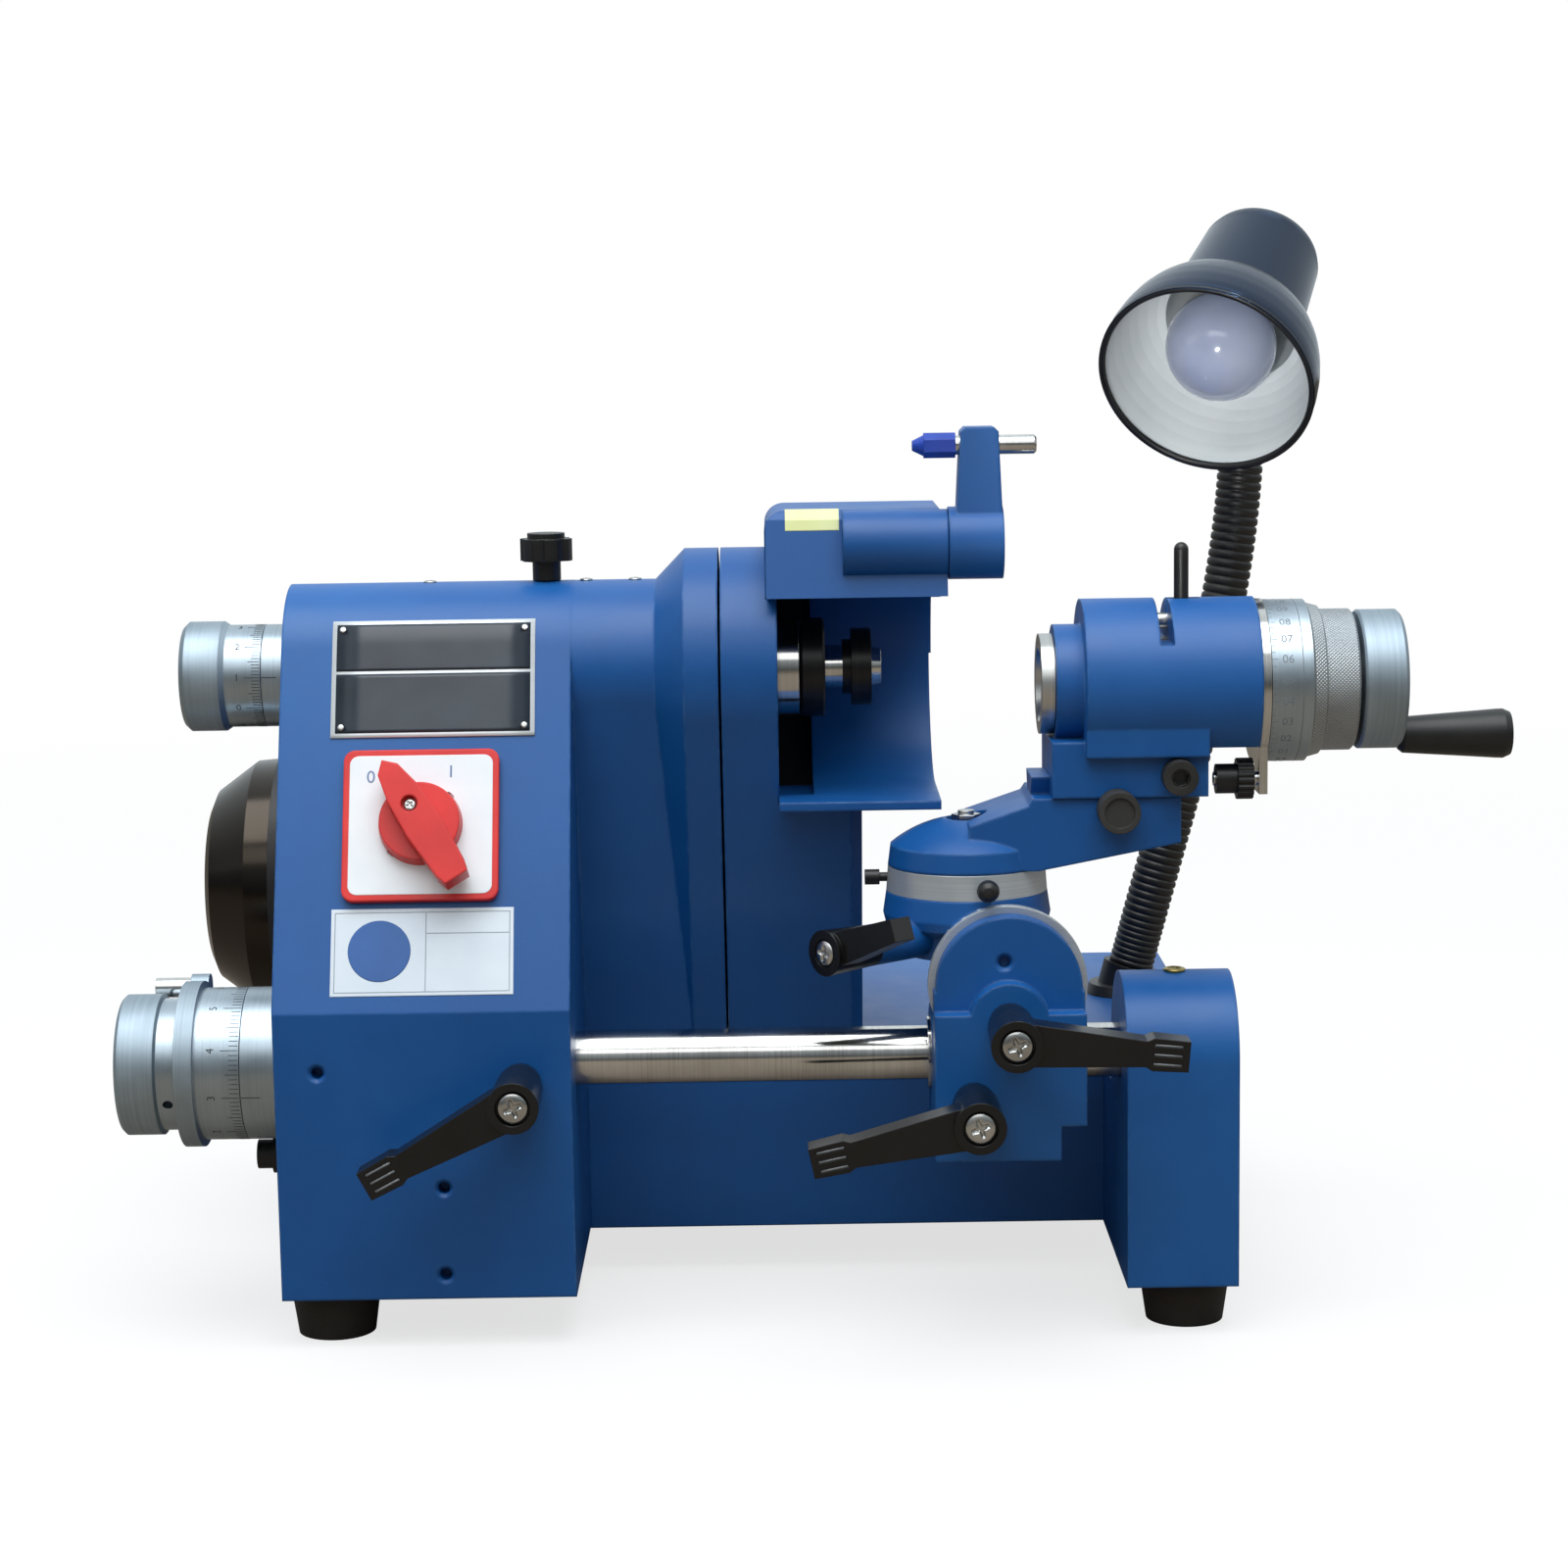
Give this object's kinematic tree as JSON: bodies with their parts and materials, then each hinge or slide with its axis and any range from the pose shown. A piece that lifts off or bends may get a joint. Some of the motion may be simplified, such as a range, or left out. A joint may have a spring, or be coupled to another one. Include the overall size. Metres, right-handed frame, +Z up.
{
  "type": "tool and cutter grinder",
  "caption": "Bench-top universal tool and cutter grinder with guarded wheel spindle, indexing workhead on a guide rod, dresser arm and gooseneck lamp.",
  "frame": {"origin": "middle of the footprint on the bench", "axes": "+X to the operator's right along the guide rod, +Y away from the operator, +Z up"},
  "size_m": [0.6115, 0.3669, 0.4908],
  "materials": {
    "blue_paint": "satin paint over cast iron",
    "black_lever": "moulded, fine grain",
    "black_plastic": "moulded",
    "blackened_steel": "blackened",
    "motor_iron": "satin black",
    "black_gloss": "gloss black",
    "shade_enamel": "gloss black outside, white inside",
    "goose_steel": "black ribbed hose",
    "foot_rubber": "moulded",
    "belt_rubber": "flat belt",
    "red_plastic": "moulded",
    "white_plastic": "moulded",
    "blue_plastic": "soft cap",
    "satin_aluminium": "satin, turned",
    "bright_steel": "ground and polished",
    "white_ceramic": "lamp holder",
    "bulb_glass": "milky diffuser"
  },
  "bodies": {
    "base": {"bed_casting": "blue_paint", "headstock_casting": "blue_paint", "rod_pedestal": "blue_paint", "belt_cover": "blue_paint", "wheel_guard": "blue_paint", "rubber_feet": "foot_rubber", "drive_belt": "belt_rubber", "motor_shell": "motor_iron", "motor_fan_cover": "black_gloss", "motor_end_bell": "motor_iron", "switch_bezel": "red_plastic", "switch_face": "white_plastic", "spindle_feed_sleeve": "satin_aluminium", "rod_feed_sleeve": "satin_aluminium", "cable_gland": "black_plastic", "lamp_socket": "black_gloss", "lamp_gooseneck": "goose_steel"},
    "quill": {"spindle_sleeve": "bright_steel", "spindle_bearings": "bright_steel"},
    "spindle": {"wheel_spindle": "bright_steel", "spindle_pulley": "satin_aluminium", "wheel_flange": "blackened_steel", "wheel_nut": "blackened_steel"},
    "rotor": {"motor_rotor": "bright_steel", "motor_pulley": "satin_aluminium"},
    "feed_knob": {"spindle_feed_knob": "satin_aluminium"},
    "sleeve_lock": {"sleeve_lock_knob": "black_plastic"},
    "switch": {"switch_knob": "red_plastic"},
    "rod_lock": {"rod_lock_lever": "black_lever"},
    "dresser": {"dresser_arm": "blue_paint"},
    "diamond": {"diamond_rod": "bright_steel", "diamond_cap": "blue_plastic"},
    "rod_dial": {"rod_feed_dial": "satin_aluminium", "rod_feed_screw": "bright_steel"},
    "dial_lock": {"dial_lock_screw": "bright_steel"},
    "rod": {"guide_rod": "bright_steel"},
    "bush": {"saddle_bush": "bright_steel"},
    "saddle_body": {"saddle": "blue_paint"},
    "saddle_lock": {"saddle_lock_lever": "black_lever"},
    "tilt_lock": {"tilt_lock_lever": "black_lever"},
    "tilt": {"tilt_body": "blue_paint", "swivel_ring": "satin_aluminium"},
    "swivel_lock": {"swivel_lock_lever": "black_lever"},
    "swivel_stop": {"swivel_stop_screw": "black_plastic"},
    "swivel_index": {"swivel_index_knob": "black_plastic"},
    "bracket": {"bracket_arm": "blue_paint", "swivel_nut": "bright_steel"},
    "workhead": {"workhead_housing": "blue_paint", "stop_plate": "bright_steel"},
    "stop": {"stop_nut": "black_plastic"},
    "slide_lock": {"slide_lock_knob": "black_plastic"},
    "slide_stop": {"slide_stop_screw": "black_plastic"},
    "bolt": {"index_bolt": "blackened_steel"},
    "work": {"work_spindle": "bright_steel", "index_dial": "satin_aluminium"},
    "hand": {"handwheel": "satin_aluminium"},
    "grip": {"crank_grip": "black_plastic"},
    "lamp": {"lamp_shade": "shade_enamel", "lamp_holder": "white_ceramic", "lamp_bulb": "bulb_glass"}
  },
  "joints": [
    {"name": "motor_spin", "type": "hinge", "parent": "base", "child": "rotor", "pos_m": [-0.171, 0.103, 0.167], "axis": [1, 0, 0], "continuous": true},
    {"name": "spindle_feed", "type": "slide", "parent": "base", "child": "quill", "axis": [1, 0, 0], "range_m": [-0.004, 0.004]},
    {"name": "spindle_spin", "type": "hinge", "parent": "quill", "child": "spindle", "pos_m": [-0.1, -0.022, 0.2844], "axis": [1, 0, 0], "continuous": true},
    {"name": "spindle_feed_turn", "type": "hinge", "parent": "base", "child": "feed_knob", "pos_m": [-0.2655, -0.022, 0.2844], "axis": [1, 0, 0], "range_deg": [-721, 721]},
    {"name": "sleeve_lock_turn", "type": "hinge", "parent": "base", "child": "sleeve_lock", "pos_m": [-0.1195, -0.022, 0.3258], "axis": [0, 0, 1], "range_deg": [-90, 90]},
    {"name": "switch_turn", "type": "hinge", "parent": "base", "child": "switch", "pos_m": [-0.172, -0.09356, 0.22457], "axis": [0, -0.9153, 0.4028], "range_deg": [-60, 60]},
    {"name": "rod_lock_turn", "type": "hinge", "parent": "base", "child": "rod_lock", "pos_m": [-0.129, -0.127, 0.117], "axis": [0, -1, 0], "range_deg": [-45, 45]},
    {"name": "dresser_swing", "type": "hinge", "parent": "base", "child": "dresser", "pos_m": [0.07, -0.065, 0.343], "axis": [1, 0, 0], "range_deg": [0, 140]},
    {"name": "diamond_slide", "type": "slide", "parent": "dresser", "child": "diamond", "axis": [1, 0, 0], "range_m": [-0.012, 0.001]},
    {"name": "rod_feed_turn", "type": "hinge", "parent": "base", "child": "rod_dial", "pos_m": [-0.2705, -0.092, 0.12], "axis": [1, 0, 0], "range_deg": [-721, 721]},
    {"name": "dial_lock_turn", "type": "hinge", "parent": "rod_dial", "child": "dial_lock", "pos_m": [-0.2805, -0.07165, 0.15018], "axis": [1, 0, 0], "range_deg": [-180, 180]},
    {"name": "rod_feed", "type": "slide", "parent": "base", "child": "rod", "axis": [1, 0, 0], "range_m": [-0.005, 0.005]},
    {"name": "saddle_slide", "type": "slide", "parent": "rod", "child": "bush", "axis": [1, 0, 0], "range_m": [-0.011, 0.011]},
    {"name": "saddle_swing", "type": "hinge", "parent": "bush", "child": "saddle_body", "pos_m": [0.082, -0.092, 0.12], "axis": [-1, 0, 0], "range_deg": [-25, 5]},
    {"name": "saddle_lock_turn", "type": "hinge", "parent": "saddle_body", "child": "saddle_lock", "pos_m": [0.066, -0.1379, 0.108], "axis": [0, -1, 0], "range_deg": [-40, 40]},
    {"name": "tilt_lock_turn", "type": "hinge", "parent": "saddle_body", "child": "tilt_lock", "pos_m": [0.0815, -0.1379, 0.1425], "axis": [0, -1, 0], "range_deg": [-40, 40]},
    {"name": "relief_tilt", "type": "hinge", "parent": "saddle_body", "child": "tilt", "pos_m": [0.082, -0.117, 0.1555], "axis": [0, 1, 0], "range_deg": [0, 20]},
    {"name": "swivel_lock_turn", "type": "hinge", "parent": "tilt", "child": "swivel_lock", "pos_m": [0.0227, -0.117, 0.1734], "axis": [-0.766, -0.6428, 0], "range_deg": [-30, 30]},
    {"name": "swivel_stop_turn", "type": "hinge", "parent": "tilt", "child": "swivel_stop", "pos_m": [0.0287, -0.08, 0.1969], "axis": [-1, 0, 0], "range_deg": [-180, 180]},
    {"name": "swivel_index_pull", "type": "slide", "parent": "tilt", "child": "swivel_index", "axis": [0, -1, 0], "range_m": [0, 0.006]},
    {"name": "head_swivel", "type": "hinge", "parent": "tilt", "child": "bracket", "pos_m": [0.0667, -0.08, 0.2024], "axis": [0, 0, 1], "range_deg": [-90, 30]},
    {"name": "workhead_slide", "type": "slide", "parent": "bracket", "child": "workhead", "axis": [1, 0, 0], "range_m": [-0.006, 0.006]},
    {"name": "slide_lock_turn", "type": "hinge", "parent": "bracket", "child": "slide_lock", "pos_m": [0.1305, -0.106, 0.2299], "axis": [0, -1, 0], "range_deg": [-90, 90]},
    {"name": "slide_stop_turn", "type": "hinge", "parent": "workhead", "child": "slide_stop", "pos_m": [0.157, -0.108, 0.2442], "axis": [0, -1, 0], "range_deg": [-90, 90]},
    {"name": "stop_nut_turn", "type": "hinge", "parent": "workhead", "child": "stop", "pos_m": [0.1835, -0.096, 0.2407], "axis": [1, 0, 0], "range_deg": [-180, 180]},
    {"name": "index_bolt_slide", "type": "slide", "parent": "workhead", "child": "bolt", "axis": [1, 0, 0], "range_m": [-0.006, 0.003]},
    {"name": "work_spindle_spin", "type": "hinge", "parent": "workhead", "child": "work", "pos_m": [0.157, -0.08, 0.2817], "axis": [1, 0, 0], "continuous": true},
    {"name": "drawbar_spin", "type": "hinge", "parent": "work", "child": "hand", "pos_m": [0.2425, -0.08, 0.2817], "axis": [1, 0, 0], "continuous": true},
    {"name": "crank_grip_spin", "type": "hinge", "parent": "hand", "child": "grip", "pos_m": [0.2814, -0.08, 0.2567], "axis": [1, 0, 0], "continuous": true},
    {"name": "lamp_bend", "type": "hinge", "parent": "base", "child": "lamp", "pos_m": [0.19, 0.086, 0.25], "axis": [1, 0, 0], "range_deg": [-15, 25], "deforming": ["lamp_gooseneck"]}
  ],
  "couplings": [
    {"joint": "spindle_spin", "follows": "motor_spin", "ratio": 1.8462},
    {"joint": "spindle_feed_turn", "follows": "spindle_feed", "rad_per_m": 3141.6},
    {"joint": "rod_feed_turn", "follows": "rod_feed", "rad_per_m": 2513.3}
  ]
}
